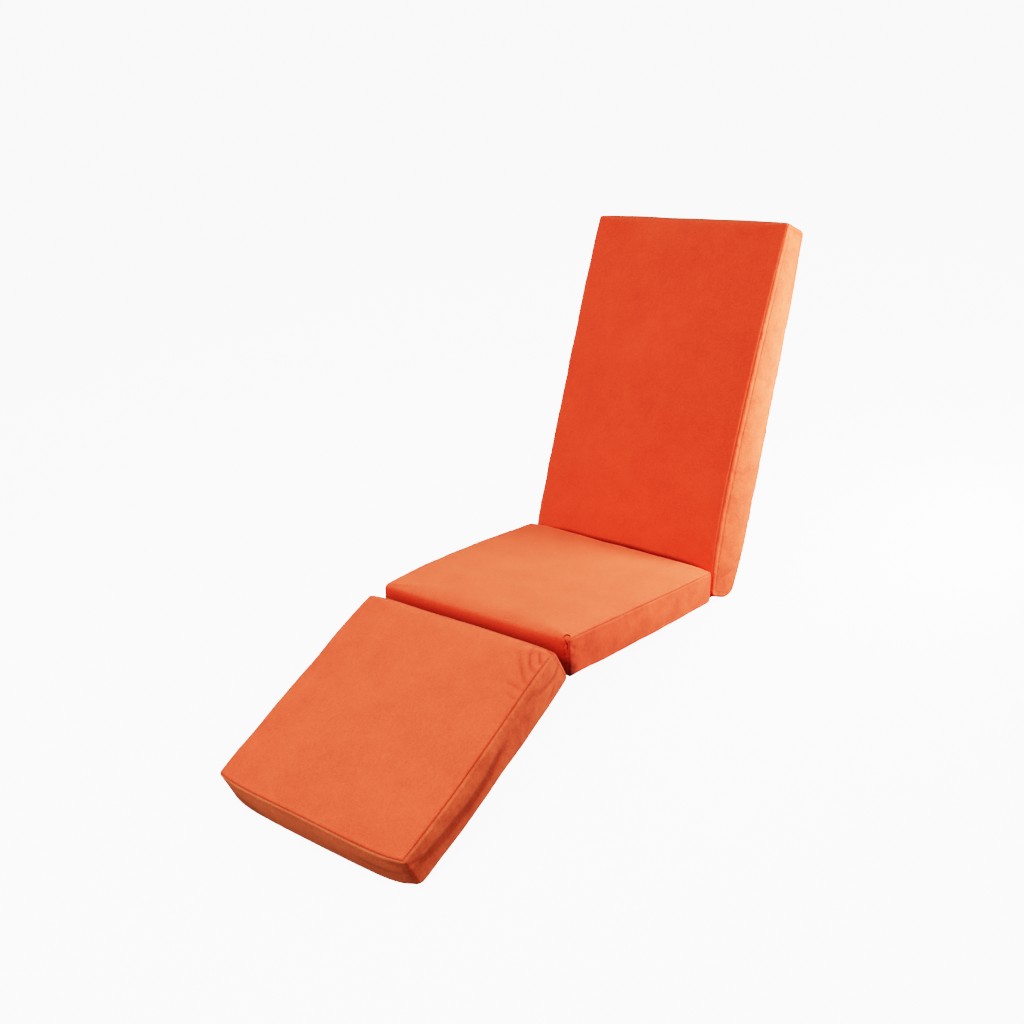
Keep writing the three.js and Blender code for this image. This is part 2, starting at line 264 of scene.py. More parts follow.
@dataclass(frozen=True)
class Stance:
    """How the bent cushion stands: tipped back from its seat's own frame, and then shifted."""

    tip_deg: float = 13.53176
    shift_mm: tuple[float, float, float] = (3.525, -235.929, 128.364)

    def place(self, slope_deg: float, start_mm: tuple[float, float]) -> Matrix:
        """Finds a section's own frame.

        Args:
            slope_deg: How steeply the section rises in the seat's frame.
            start_mm: Where its start stands in the seat's frame, along and up.

        Returns:
            The matrix from the section's own frame to the part's.
        """
        tip = Matrix.Rotation(-math.radians(self.tip_deg), 4, "X")
        shift = Matrix.Translation(Vector(self.shift_mm) * MM)
        start = Matrix.Translation(Vector((0, *start_mm)) * MM)
        slope = Matrix.Rotation(math.radians(slope_deg), 4, "X")
        return shift @ tip @ start @ slope


# Finishes


class Nodes:
    """Builds a material's nodes with few words."""

    def __init__(self, material: bpy.types.Material) -> None:
        """Starts from a material's empty node tree."""
        material.use_nodes = True
        self.tree = material.node_tree
        self.tree.nodes.clear()

    def add(self, kind: str, **settings: object) -> bpy.types.Node:
        """Adds a node.

        Args:
            kind: The node's type, without the words ShaderNode.
            **settings: Its properties, and its inputs by name with spaces as underscores.

        Returns:
            The node.
        """
        node = self.tree.nodes.new("ShaderNode" + kind)
        for key, value in settings.items():
            socket = key.replace("_", " ")
            if hasattr(node, key):
                setattr(node, key, value)
            elif isinstance(value, bpy.types.NodeSocket):
                self.tree.links.new(value, node.inputs[socket])
            else:
                node.inputs[socket].default_value = value
        return node

    def noise(self, place: bpy.types.NodeSocket, scale: float, **settings: float) -> bpy.types.NodeSocket:
        """Adds a noise texture.

        Args:
            place: The socket with the place that it is read at.
            scale: How fine it is.
            **settings: Its other inputs by name.

        Returns:
            The socket with its strength.
        """
        return self.add("TexNoise", Vector=place, Scale=scale, **settings).outputs["Fac"]

    def blend(self, kind: str, amount: object, first: object, second: object) -> bpy.types.NodeSocket:
        """Adds a mix of two colours.

        Args:
            kind: How they mix.
            amount: How much of the second, as a number or socket.
            first: A colour or socket.
            second: A colour or socket.

        Returns:
            The socket with the result.
        """
        node = self.add("Mix", data_type="RGBA", blend_type=kind)
        colours = [socket for socket in node.inputs if socket.type == "RGBA"]
        for socket, value in ((node.inputs[0], amount), (colours[0], first), (colours[1], second)):
            if isinstance(value, bpy.types.NodeSocket):
                self.tree.links.new(value, socket)
            else:
                socket.default_value = value
        return next(socket for socket in node.outputs if socket.type == "RGBA")

    def math(self, operation: str, *values: object) -> bpy.types.NodeSocket:
        """Adds a calculation.

        Args:
            operation: Its name.
            *values: Numbers or sockets to work on.

        Returns:
            The socket with the result.
        """
        node = self.add("Math", operation=operation)
        for socket, value in zip(node.inputs, values):
            if isinstance(value, bpy.types.NodeSocket):
                self.tree.links.new(value, socket)
            else:
                socket.default_value = value
        return node.outputs[0]


@dataclass(frozen=True)
class Canvas:
    """Plain woven canvas: mottled colour in an uneven weave, with painted sheen that draws upward faces,
    rolled edges and side strips paler, a painted shade tint that draws shaded sides browner, and painted shade
    in seams, creases and gaps.
    """

    name: str
    colour: tuple[float, float, float] = (0.90, 0.060, 0.026)
    # Paler, tanner colour of the painted sheen
    painted_sheen_colour: tuple[float, float, float] = (0.87, 0.084, 0.038)
    # Browner colour of the painted shade tint
    shade_tint_colour: tuple[float, float, float] = (0.72, 0.125, 0.055)
    yarn_pitch_mm: float = 0.9
    rib_pitch_mm: float = 4.4
    rib_depth: float = 0.02
    rib_drift: float = 26.0
    drift_scale: float = 5.0
    mottle: float = 0.17
    mottle_scale: float = 9.0
    blotches: float = 0.25
    strip_blotches: float = 0.8
    blotch_scale: float = 28.0
    grain: float = 0.85
    grain_scale: float = 260.0
    slub: float = 0.18
    slub_scale: tuple[float, float] = (55.0, 900.0)
    crinkle_mm: float = 1.2
    strip_crinkle: float = 0.9
    crinkle_scale: float = 70.0
    weave_mm: float = 0.14
    # How much darker the painted shade draws the canvas at its deepest
    seam_shade: float = 0.58
    roughness: float = 0.88
    sheen: float = 0.15
    sheen_colour: tuple[float, float, float] = (1.0, 0.60, 0.28)

    def make(self) -> bpy.types.Material:
        """Returns the material."""
        material = bpy.data.materials.new(self.name)
        nodes = Nodes(material)
        flat = nodes.add("UVMap", uv_map=WEAVE_MAP).outputs["UV"]
        place = nodes.add("TexCoord").outputs["Object"]
        split = nodes.add("SeparateXYZ", Vector=flat)
        u, v = split.outputs["X"], split.outputs["Y"]
        turn = 2 * math.pi

        mottle = nodes.noise(place, self.mottle_scale, Detail=4.0, Roughness=0.6)
        along, across = self.slub_scale
        yarn_place = nodes.add("Mapping", Vector=flat, Scale=(along, across, 1.0)).outputs["Vector"]
        slub = nodes.noise(yarn_place, 1.0, Detail=2.0)
        warp_place = nodes.add("Mapping", Vector=flat, Scale=(across, along, 1.0)).outputs["Vector"]
        warp = nodes.noise(warp_place, 1.0, Detail=2.0)
        drift = nodes.noise(place, self.drift_scale, Detail=1.0)
        wander = nodes.math("MULTIPLY", drift, self.rib_drift)
        rib = nodes.math("SINE", nodes.math("MULTIPLY_ADD", v, turn / (self.rib_pitch_mm * MM), wander))

        strip = nodes.add("Attribute", attribute_name=STRIP).outputs["Fac"]
        blotch = nodes.noise(place, self.blotch_scale, Detail=5.0, Roughness=0.6)
        shade = nodes.math("MULTIPLY_ADD", nodes.math("SUBTRACT", mottle, 0.5), 2 * self.mottle, 1.0)
        strength = nodes.math("MULTIPLY_ADD", strip, self.strip_blotches, self.blotches)
        patches = nodes.math("MULTIPLY", nodes.math("SUBTRACT", blotch, 0.5), strength)
        grain = nodes.noise(place, self.grain_scale, Detail=3.0, Roughness=0.7)
        shade = nodes.math("ADD", shade, patches)
        shade = nodes.math("MULTIPLY_ADD", nodes.math("SUBTRACT", grain, 0.5), self.grain, shade)
        yarns = nodes.math("SUBTRACT", nodes.math("ADD", slub, warp), 1.0)
        shade = nodes.math("MULTIPLY_ADD", yarns, self.slub, shade)
        shade = nodes.math("MULTIPLY_ADD", rib, self.rib_depth, shade)
        # Painted shade: the canvas is drawn darker in seam valleys, creases, gaps between sections and on
        # rounded ends
        groove_and_shade = nodes.add("Attribute", attribute_name=PAINTED_SHADE).outputs["Fac"]
        shade = nodes.math("MULTIPLY", shade, nodes.math("MULTIPLY_ADD", groove_and_shade, -self.seam_shade, 1.0))
        # Painted sheen: paler and tanner where the painted sheen note says, unevenly
        painted_sheen_mask = nodes.add("Attribute", attribute_name=PAINTED_SHEEN).outputs["Fac"]
        painted_sheen_share = nodes.math("MULTIPLY", painted_sheen_mask, nodes.math("MULTIPLY_ADD", drift, 0.5, 0.75))
        dye_and_painted_light = nodes.blend("MIX", painted_sheen_share, (*self.colour, 1.0), (*self.painted_sheen_colour, 1.0))
        # Painted shade tint: browner where the painted shade tint note says
        soil = nodes.add("Attribute", attribute_name=SHADE_TINT).outputs["Fac"]
        dye_and_painted_light = nodes.blend("MIX", soil, dye_and_painted_light, (*self.shade_tint_colour, 1.0))
        grey = nodes.add("CombineColor", Red=shade, Green=shade, Blue=shade).outputs["Color"]
        coloured_with_painted_light = nodes.blend("MULTIPLY", 1.0, dye_and_painted_light, grey)

        step = turn / (2 * self.yarn_pitch_mm * MM)
        weft_wave = nodes.math("SINE", nodes.math("MULTIPLY", u, step))
        warp_wave = nodes.math("SINE", nodes.math("MULTIPLY", v, step))
        over = nodes.math("MULTIPLY", weft_wave, warp_wave)
        relief = nodes.math("MULTIPLY_ADD", over, 0.5, nodes.math("MULTIPLY", yarns, 1.2))
        relief = nodes.math("MULTIPLY_ADD", rib, 0.08, relief)
        crinkle = nodes.noise(place, self.crinkle_scale, Detail=5.0, Roughness=0.62)
        crinkle = nodes.math("MULTIPLY", crinkle, nodes.math("MULTIPLY_ADD", strip, self.strip_crinkle, 1.0))
        deep, shallow = self.crinkle_mm * MM, self.weave_mm * MM
        soft = nodes.add("Bump", Height=crinkle, Strength=0.55, Distance=deep).outputs["Normal"]
        fine = nodes.add("Bump", Height=relief, Strength=0.6, Distance=shallow, Normal=soft).outputs["Normal"]
        rough = nodes.math("MULTIPLY_ADD", yarns, 0.08, self.roughness)
        shader = nodes.add(
            "BsdfPrincipled", Base_Color=coloured_with_painted_light, Roughness=rough, Normal=fine, Sheen_Weight=self.sheen,
            Sheen_Roughness=0.45, Sheen_Tint=(*self.sheen_colour, 1.0), Specular_IOR_Level=0.1,
        )
        nodes.add("OutputMaterial", Surface=shader.outputs["BSDF"])
        return material


@dataclass(frozen=True)
class Thread:
    """Twisted sewing thread."""

    name: str
    colour: tuple[float, float, float]
    fibre_scale: float = 1800.0

    def make(self) -> bpy.types.Material:
        """Returns the material."""
        material = bpy.data.materials.new(self.name)
        nodes = Nodes(material)
        place = nodes.add("TexCoord").outputs["Object"]
        fibre = nodes.noise(place, self.fibre_scale, Detail=2.0)
        ramp = nodes.add("ValToRGB", Fac=fibre)
        ramp.color_ramp.elements[0].color = (*(0.75 * c for c in self.colour), 1.0)
        ramp.color_ramp.elements[1].color = (*self.colour, 1.0)
        ridge = nodes.add("Bump", Height=fibre, Strength=0.4, Distance=0.0001).outputs["Normal"]
        shader = nodes.add(
            "BsdfPrincipled", Base_Color=ramp.outputs["Color"], Roughness=0.8, Normal=ridge,
            Specular_IOR_Level=0.1,
        )
        nodes.add("OutputMaterial", Surface=shader.outputs["BSDF"])
        return material


@dataclass(frozen=True)
class PaleFloor:
    """Matt white floor of a light table: it glows a little, so that it stays even far from the lamps."""

    colour: tuple[float, float, float] = (0.60, 0.60, 0.60)
    glow: float = 4.0
    cloud_scale: float = 0.8

    def make(self) -> bpy.types.Material:
        """Returns the material."""
        material = bpy.data.materials.new("pale_floor")
        nodes = Nodes(material)
        place = nodes.add("TexCoord").outputs["Object"]
        cloud = nodes.noise(place, self.cloud_scale, Detail=2.0)
        ramp = nodes.add("ValToRGB", Fac=cloud)
        ramp.color_ramp.elements[0].color = (*(0.985 * c for c in self.colour), 1.0)
        ramp.color_ramp.elements[1].color = (*self.colour, 1.0)
        shader = nodes.add("BsdfPrincipled", Base_Color=ramp.outputs["Color"], Roughness=0.9)
        shader.inputs["Specular IOR Level"].default_value = 0.1
        shader.inputs["Emission Color"].default_value = (1.0, 1.0, 1.0, 1.0)
        shader.inputs["Emission Strength"].default_value = self.glow
        nodes.add("OutputMaterial", Surface=shader.outputs["BSDF"])
        return material


# Folds and seams


@dataclass(frozen=True)
class Fold:
    """A crease in the cover along a run of points on one side.

    far_mm, where it is given, is the width on the right of the run, seen with the panel's axes right and up.
    The canvas is drawn darker in a crease as painted shade, by shade for each millimetre of depth.
    """

    panel: Panel
    run_mm: tuple[tuple[float, float], ...]
    width_mm: float
    depth_mm: float
    far_mm: float | None = None
    shade: float = 0.2

    def depth_at(self, points: np.ndarray, normals: np.ndarray) -> np.ndarray:
        """Finds how deep the fold presses each point in.

        Args:
            points: Places in the section's own frame.
            normals: Outward directions there.

        Returns:
            A depth in metres for each point.
        """
        first, second, out, sign = self.panel.value
        depth = np.zeros(len(points))
        facing = np.clip((normals[:, out] * sign - 0.25) / 0.4, 0.0, 1.0)
        flat = points[:, [first, second]] / MM
        run = np.array(self.run_mm)
        far = self.far_mm or self.width_mm
        reach = 3 * max(self.width_mm, far)
        near = (facing > 0) & (flat >= run.min(0) - reach).all(1) & (flat <= run.max(0) + reach).all(1)
        if not near.any():
            return depth
        place = flat[near]
        best = np.full(len(place), np.inf)
        share = np.zeros(len(place))
        for i, (a, b) in enumerate(zip(run[:-1], run[1:])):
            leg = b - a
            t = np.clip((place - a) @ leg / (leg @ leg), 0.0, 1.0)
            gap = np.linalg.norm(place - a - t[:, None] * leg, axis=1)
            right = leg[0] * (place - a)[:, 1] - leg[1] * (place - a)[:, 0] < 0
            gap = gap / np.where(right, far, self.width_mm)
            closer = gap < best
            best[closer] = gap[closer]
            share[closer] = (i + t[closer]) / (len(run) - 1)
        tips = np.sqrt(np.sin(np.pi * np.clip(share, 0.02, 0.98)))
        depth[near] = self.depth_mm * MM * tips * np.exp(-(best**2)) * facing[near]
        return depth


@dataclass
class SeamLine:
    """A sewn line: its points in order, their distance along it, and the direction it runs in at each."""

    points: np.ndarray
    steps: np.ndarray = field(init=False)
    runs: np.ndarray = field(init=False)

    def __post_init__(self) -> None:
        """Measures the line."""
        gaps = np.linalg.norm(np.diff(self.points, axis=0), axis=1)
        self.steps = np.concatenate(([0.0], np.cumsum(gaps)))
        ahead = np.gradient(self.points, axis=0)
        self.runs = ahead / np.linalg.norm(ahead, axis=1, keepdims=True)


def seam_lines(mesh: bpy.types.Mesh) -> list[SeamLine]:
    """Follows the marked edges of a mesh.

    Args:
        mesh: A mesh whose sewn edges are marked as seams.

    Returns:
        One line for each run of marked edges.
    """
    points = points_of(mesh)
    edges = edges_of(mesh)
    marked = np.zeros(len(edges), bool)
    mesh.edges.foreach_get("use_seam", marked)
    beside: dict[int, list[int]] = {}
    for a, b in edges[marked]:
        beside.setdefault(int(a), []).append(int(b))
        beside.setdefault(int(b), []).append(int(a))
    lines = []
    used: set[tuple[int, int]] = set()

    def walk(start: int, after: int) -> list[int]:
        """Returns the vertices of one line from its first edge on."""
        path = [start, after]
        used.add((min(path), max(path)))
        while len(beside[path[-1]]) == 2:
            onward = [n for n in beside[path[-1]] if (min(n, path[-1]), max(n, path[-1])) not in used]
            if not onward:
                break
            used.add((min(onward[0], path[-1]), max(onward[0], path[-1])))
            path.append(onward[0])
        return path

    ends = [v for v in sorted(beside) if len(beside[v]) != 2]
    for start in ends + sorted(beside):
        for after in beside[start]:
            if (min(start, after), max(start, after)) not in used:
                lines.append(SeamLine(points[walk(start, after)]))
    return lines


@dataclass(frozen=True)
class SeamStyle:
    """The shape of the cover beside a seam: a narrow valley, a full lip on each side, and small puckers.

    Down a section's ends the seams are shallower. A topstitch, where there is one, runs beside the seam on
    the side strip, and the strip puckers between the two.
    """

    valley_mm: float = 2.4
    end_valley_mm: float = 1.4
    valley_width_mm: float = 1.5
    lip_mm: float = 0.6
    lip_at_mm: float = 5.0
    lip_width_mm: float = 3.0
    pucker_mm: float = 0.28
    side_pucker_mm: float = 0.3
    pucker_reach_mm: float = 22.0
    pucker_lengths_mm: tuple[float, ...] = (17.0, 25.0, 38.0, 60.0)
    topstitch_mm: float = 0.0
    topstitch_depth_mm: float = 0.8
    topstitch_width_mm: float = 1.4
    # How dark the painted shade is along the topstitch and, scaled by shade, in the seam valley beside it
    topstitch_shade: float = 0.4
    band_pucker_mm: float = 0.35
    band_pucker_length_mm: float = 8.5
    shade: float = 1.0
    line_offset: float = 3.1
    slow_waves: tuple[tuple[float, float], ...] = ((0.41, 1.3), (0.173, 0.4))
    seed: int = 7

    def rise_at(
        self, points: np.ndarray, normals: np.ndarray, lines: list[SeamLine]
    ) -> tuple[np.ndarray, np.ndarray]:
        """Finds how far the cover stands out beside the seams.

        Args:
            points: Places in the section's own frame.
            normals: Outward directions there.
            lines: The seams.

        Returns:
            For each point a height in metres, and how deep it lies in a seam, from 0 to 1, which the canvas
            shows as painted shade.
        """
        chance = np.random.default_rng(self.seed)
        spots = np.concatenate([line.points for line in lines])
        along = np.concatenate([line.steps + self.line_offset * i for i, line in enumerate(lines)])
        upright = np.abs(np.concatenate([line.runs for line in lines])[:, 2])
        tree = kdtree.KDTree(len(spots))
        for i, spot in enumerate(spots):
            tree.insert(spot, i)
        tree.balance()
        found = [tree.find(p)[1:] for p in points]
        nearest = [f[0] for f in found]
        where, steep = along[nearest], np.clip((upright[nearest] - 0.3) / 0.5, 0.0, 1.0)
        gap = np.array([f[1] for f in found]) / MM

        # The valley's profile shapes the cover and is also the painted shade in the seam
        groove_and_shade = np.exp(-((gap / self.valley_width_mm) ** 2))
        rise = -(self.valley_mm + (self.end_valley_mm - self.valley_mm) * steep) * groove_and_shade
        rise += self.lip_mm * (1 - 0.6 * steep) * np.exp(-(((gap - self.lip_at_mm) / self.lip_width_mm) ** 2))
        side = np.clip((np.abs(normals[:, 0]) - 0.4) / 0.3, 0.0, 1.0)
        ripple = np.zeros(len(points))
        for length in self.pucker_lengths_mm:
            skew = chance.uniform(-0.5, 0.5)
            phase = chance.uniform(0.0, 2 * np.pi)
            ripple += np.sin(2 * np.pi * (where / MM + skew * gap) / length + phase)
        ripple /= math.sqrt(len(self.pucker_lengths_mm))
        long, short = (np.sin(2 * np.pi * where / length + phase) for length, phase in self.slow_waves)
        slow = long * short
        fade = np.clip((gap - 1.0) / 3.5, 0.0, 1.0) * np.exp(-((gap / self.pucker_reach_mm) ** 2))
        depth = self.pucker_mm + (self.side_pucker_mm - self.pucker_mm) * side
        rise += ripple * (0.65 + 0.35 * slow) * depth * fade
        if self.topstitch_mm:
            line = np.exp(-(((gap - self.topstitch_mm) / self.topstitch_width_mm) ** 2)) * side
            rise -= self.topstitch_depth_mm * line
            # Painted shade along the topstitch line, and in the seam valley scaled by shade
            groove_and_shade = np.maximum(self.shade * groove_and_shade, self.topstitch_shade * line)
            band = np.clip(1.25 - np.abs(2 * gap / self.topstitch_mm - 1), 0.0, 1.0) * side
            pull = np.sin(2 * np.pi * (where / MM + 0.6 * gap) / self.band_pucker_length_mm + 2.0 * slow)
            rise += self.band_pucker_mm * pull * (0.6 + 0.4 * slow) * band
        return rise * MM, groove_and_shade


@dataclass(frozen=True)
class CoverCloth:
    """The cloth simulation that settles a cover: filled from inside, slack beside its seams, held at them."""

    pressure: float = 4.0
    frames: int = 16
    quality: int = 4
    mass: float = 0.3
    stiffness: float = 20.0
    shear_stiffness: float = 8.0
    bending_stiffness: float = 0.15
    held_mm: float = 0.05
    slack: float = 0.035
    slack_reach_mm: float = 34.0
    cap_mm: float = 2.4
    flatten_rounds: int = 40
    strength: float = 0.8

    def settle(self, cage: bpy.types.Object) -> tuple[np.ndarray, np.ndarray]:
        """Runs the cloth on a copy of a cage.

        Args:
            cage: The section's mesh in its own frame, with its seams marked.

        Returns:
            The places of the copy's vertices, and how far the cloth moved each one outwards beside its
            neighbours.
        """
        cover = bpy.data.objects.new("cover", cage.data.copy())
        bpy.context.scene.collection.objects.link(cover)
        subdivide(cover, 1)
        mesh = cover.data
        rest, out = points_of(mesh), normals_of(mesh)
        lines = seam_lines(mesh)
        tree = kdtree.KDTree(sum(len(line.points) for line in lines))
        for i, spot in enumerate(np.concatenate([line.points for line in lines])):
            tree.insert(spot, i)
        tree.balance()
        gap = np.array([tree.find(p)[2] for p in rest]) / MM
        held = cover.vertex_groups.new(name="held")
        loose = cover.vertex_groups.new(name="loose")
        for i, distance in enumerate(gap):
            if distance < self.held_mm:
                held.add([i], 1.0, "REPLACE")
            loose.add([i], float(np.exp(-((distance / self.slack_reach_mm) ** 2))), "REPLACE")
        cloth = cover.modifiers.new("cloth", "CLOTH")
        settings = cloth.settings
        settings.quality = self.quality
        settings.mass = self.mass
        settings.tension_stiffness = settings.compression_stiffness = self.stiffness
        settings.shear_stiffness = self.shear_stiffness
        settings.bending_stiffness = self.bending_stiffness
        settings.vertex_group_mass = held.name
        settings.vertex_group_shrink = loose.name
        settings.shrink_min = 0.0
        settings.shrink_max = -self.slack
        settings.use_pressure = True
        settings.uniform_pressure_force = self.pressure
        settings.effector_weights.gravity = 0.0
        cloth.collision_settings.use_collision = False
        cloth.point_cache.frame_end = self.frames
        scene = bpy.context.scene
        for frame in range(1, self.frames + 1):
            scene.frame_set(frame)
        make_active(cover)
        bpy.ops.object.modifier_apply(modifier=cloth.name)
        moved = ((points_of(mesh) - rest) * out).sum(1)
        ripple = moved - smoothed(moved, edges_of(mesh), self.flatten_rounds)
        log.info("  cloth moved up to %.1f mm, ripple up to %.2f mm", 1e3 * np.abs(moved).max(),
                 1e3 * np.abs(ripple).max())
        cap = self.cap_mm * MM
        ripple = cap * np.tanh(ripple / cap)
        bpy.data.objects.remove(cover)
        return rest, ripple * self.strength


def carried_over(places: np.ndarray, values: np.ndarray, points: np.ndarray) -> np.ndarray:
    """Carries a value from a coarse mesh to the points of a finer one.

    Args:
        places: The coarse mesh's vertices.
        values: The value at each.
        points: The finer mesh's vertices.

    Returns:
        The value at each point.
    """
    tree = kdtree.KDTree(len(places))
    for i, place in enumerate(places):
        tree.insert(place, i)
    tree.balance()
    result = np.empty(len(points))
    for row, point in enumerate(points):
        near = tree.find_n(point, 4)
        weights = [1.0 / (distance * distance + 1e-9) for _, _, distance in near]
        result[row] = sum(w * values[i] for w, (_, i, _) in zip(weights, near)) / sum(weights)
    return result


# Stitches


def add_strand(
    shell: bmesh.types.BMesh, centres: list[Vector], outs: list[Vector], radii: list[float]
) -> None:
    """Adds a short strand of thread to a mesh.

    Args:
        shell: The mesh.
        centres: Points along the middle of the strand.
        outs: The direction away from the cover at each.
        radii: The radius at each, in metres.
    """
    sides = 6
    turns = [math.tau * k / sides for k in range(sides)]
    rings = []
    for i, (centre, out, radius) in enumerate(zip(centres, outs, radii)):
        ahead = (centres[min(i + 1, len(centres) - 1)] - centres[max(i - 1, 0)]).normalized()
        side = ahead.cross(out).normalized()
        top = side.cross(ahead)
        spokes = (side * math.cos(turn) + top * math.sin(turn) for turn in turns)
        rings.append([shell.verts.new(centre + spoke * radius) for spoke in spokes])
    for a, b in zip(rings[:-1], rings[1:]):
        for k in range(sides):
            m = (k + 1) % sides
            shell.faces.new((a[k], a[m], b[m], b[k]))
    shell.faces.new(rings[0][::-1])
    shell.faces.new(rings[-1])


# How far along a stitch, how thick there, and how many radii above the cover
STITCH_ARC = ((0.0, 0.5, -0.9), (0.2, 0.95, 0.1), (0.5, 1.0, 0.4), (0.8, 0.95, 0.1), (1.0, 0.5, -0.9))


@dataclass(frozen=True)
class StitchRow:
    """A row of short stitches, which sink into the cover at their tips."""

    length_mm: float = 2.9
    gap_mm: float = 1.5
    thickness_mm: float = 0.75
    lift_mm: float = 0.15
    slant_mm: float = 0.0

    def add_to(self, shell: bmesh.types.BMesh, path: np.ndarray, outs: np.ndarray) -> int:
        """Adds the stitches to a mesh.

        Args:
            shell: The mesh.
            path: Points along the row.
            outs: The outward direction at each.

        Returns:
            How many stitches were added.
        """
        steps = np.concatenate(([0.0], np.cumsum(np.linalg.norm(np.diff(path, axis=0), axis=1)))) / MM
        pitch = self.length_mm + self.gap_mm
        count = int(steps[-1] // pitch)
        radius = self.thickness_mm * MM / 2

        def at(distance: float, values: np.ndarray) -> Vector:
            """Returns the value at a distance along the row."""
            return Vector([np.interp(distance, steps, values[:, k]) for k in range(3)])

        for n in range(count):
            begin = n * pitch + self.gap_mm / 2
            centres, normals, radii = [], [], []
            for share, size, lift in STITCH_ARC:
                distance = begin + share * self.length_mm
                out = at(distance, outs).normalized()
                ahead = at(distance + 0.5, path) - at(distance - 0.5, path)
                lean = ahead.cross(out).normalized() * (self.slant_mm * MM * (share - 0.5))
                centres.append(at(distance, path) + out * (self.lift_mm * MM + lift * radius) + lean)
                normals.append(out)
                radii.append(radius * size)
            add_strand(shell, centres, normals, radii)
        return count


@dataclass(frozen=True)
class StitchLine:
    """A row of stitches along a run of points on one side of a section."""

    section: str
    panel: Panel
    run_mm: tuple[tuple[float, float], ...]
    row: StitchRow


@dataclass
class Stitching:
    """All the stitches in one colour of thread, laid on the finished covers."""

    name: str
    thread: Thread
    slot: str
    lines: tuple[StitchLine, ...] = ()
    beside_seams: dict[str, float] = field(default_factory=dict)
    knots: tuple[StitchLine, ...] = ()
    reach_mm: float = 320.0
    beyond_far_end: float = 0.5
    step_mm: float = 1.5
    piece: bpy.types.Object | None = None

    def build(self, sections: dict[str, "FilledSection"]) -> None:
        """Makes the stitches' mesh.

        Args:
            sections: The finished sections by name.
        """
        shell = bmesh.new()
        count = 0
        for line in self.lines:
            path, outs = self._laid(sections[line.section], line.panel, self._finer(np.array(line.run_mm)))
            count += line.row.add_to(shell, path, outs)
        for name, offset_mm in self.beside_seams.items():
            section = sections[name]
            for seam in section.lines:
                panel = Panel.RIGHT if seam.points[:, 0].mean() > 0 else Panel.LEFT
                path, outs = self._laid(section, panel, self._inside(seam, offset_mm))
                count += StitchRow().add_to(shell, path, outs)
        for knot in self.knots:
            self._add_knot(shell, sections[knot.section], knot)
        bmesh.ops.recalc_face_normals(shell, faces=shell.faces)
        mesh = bpy.data.meshes.new(self.name)
        shell.to_mesh(mesh)
        shell.free()
        mesh.shade_smooth()
        self.piece = bpy.data.objects.new(self.name, mesh)
        bpy.context.scene.collection.objects.link(self.piece)
        log.info("%s: %d stitches", self.name, count)

    def dress(self) -> None:
        self.piece.data.materials.append(self.thread.make())
        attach(self.piece, BODY)

    def _finer(self, run_mm: np.ndarray) -> np.ndarray:
        """Returns a run with points at close, even steps, in metres."""
        steps = np.concatenate(([0.0], np.cumsum(np.linalg.norm(np.diff(run_mm, axis=0), axis=1))))
        even = np.linspace(0.0, steps[-1], max(2, int(steps[-1] / self.step_mm)))
        return np.column_stack([np.interp(even, steps, run_mm[:, k]) for k in (0, 1)]) * MM

    def _inside(self, seam: SeamLine, offset_mm: float) -> np.ndarray:
        """Returns points along the inside of a seam on its side strip, at an even distance from it."""
        flat = seam.points[:, 1:]
        middle = (flat.min(0) + flat.max(0)) / 2
        ahead = np.roll(flat, -2, axis=0) - np.roll(flat, 2, axis=0)
        inward = np.column_stack((-ahead[:, 1], ahead[:, 0]))
        inward /= np.linalg.norm(inward, axis=1, keepdims=True)
        turned = ((middle - flat) * inward).sum(1).mean() < 0
        moved = flat + inward * (offset_mm * MM * (-1 if turned else 1))
        gaps = np.linalg.norm(moved[:, None] - flat[None, ::2], axis=2).min(1)
        return moved[gaps > 0.93 * offset_mm * MM]

    def _laid(self, section: "FilledSection", panel: Panel, run: np.ndarray) -> tuple[np.ndarray, np.ndarray]:
        """Returns the points and outward directions of a run laid on a section's cover."""
        first, second, out, sign = panel.value
        turn = section.place.to_3x3()
        path, outs = [], []
        for a, b in run:
            start = Vector((0.0, 0.0, 0.0))
            start[first], start[second] = a, b
            start[out] = sign * self.reach_mm * MM + (self.beyond_far_end if sign > 0 else 0.0)
            inward = Vector((0.0, 0.0, 0.0))
            inward[out] = -sign
            hit, normal, _, _ = section.tree.ray_cast(section.place @ start, turn @ inward)
            if hit is not None:
                path.append(hit)
                outs.append(normal)
        return np.array(path), np.array(outs)

    def _add_knot(self, shell: bmesh.types.BMesh, section: "FilledSection", knot: StitchLine) -> None:
        """Adds one thick strand that lies loose on the cover."""
        path, outs = self._laid(section, knot.panel, self._finer(np.array(knot.run_mm)))
        radius = knot.row.thickness_mm * MM / 2
        shares = np.linspace(0.0, np.pi, len(path))
        radii = [radius * (0.45 + 0.55 * math.sin(share)) for share in shares]
        lifts = [radius * (0.2 + 0.9 * math.sin(share)) for share in shares]
        centres = [Vector(p) + Vector(o) * lift for p, o, lift in zip(path, outs, lifts)]
        add_strand(shell, centres, [Vector(o) for o in outs], radii)


# The cushion


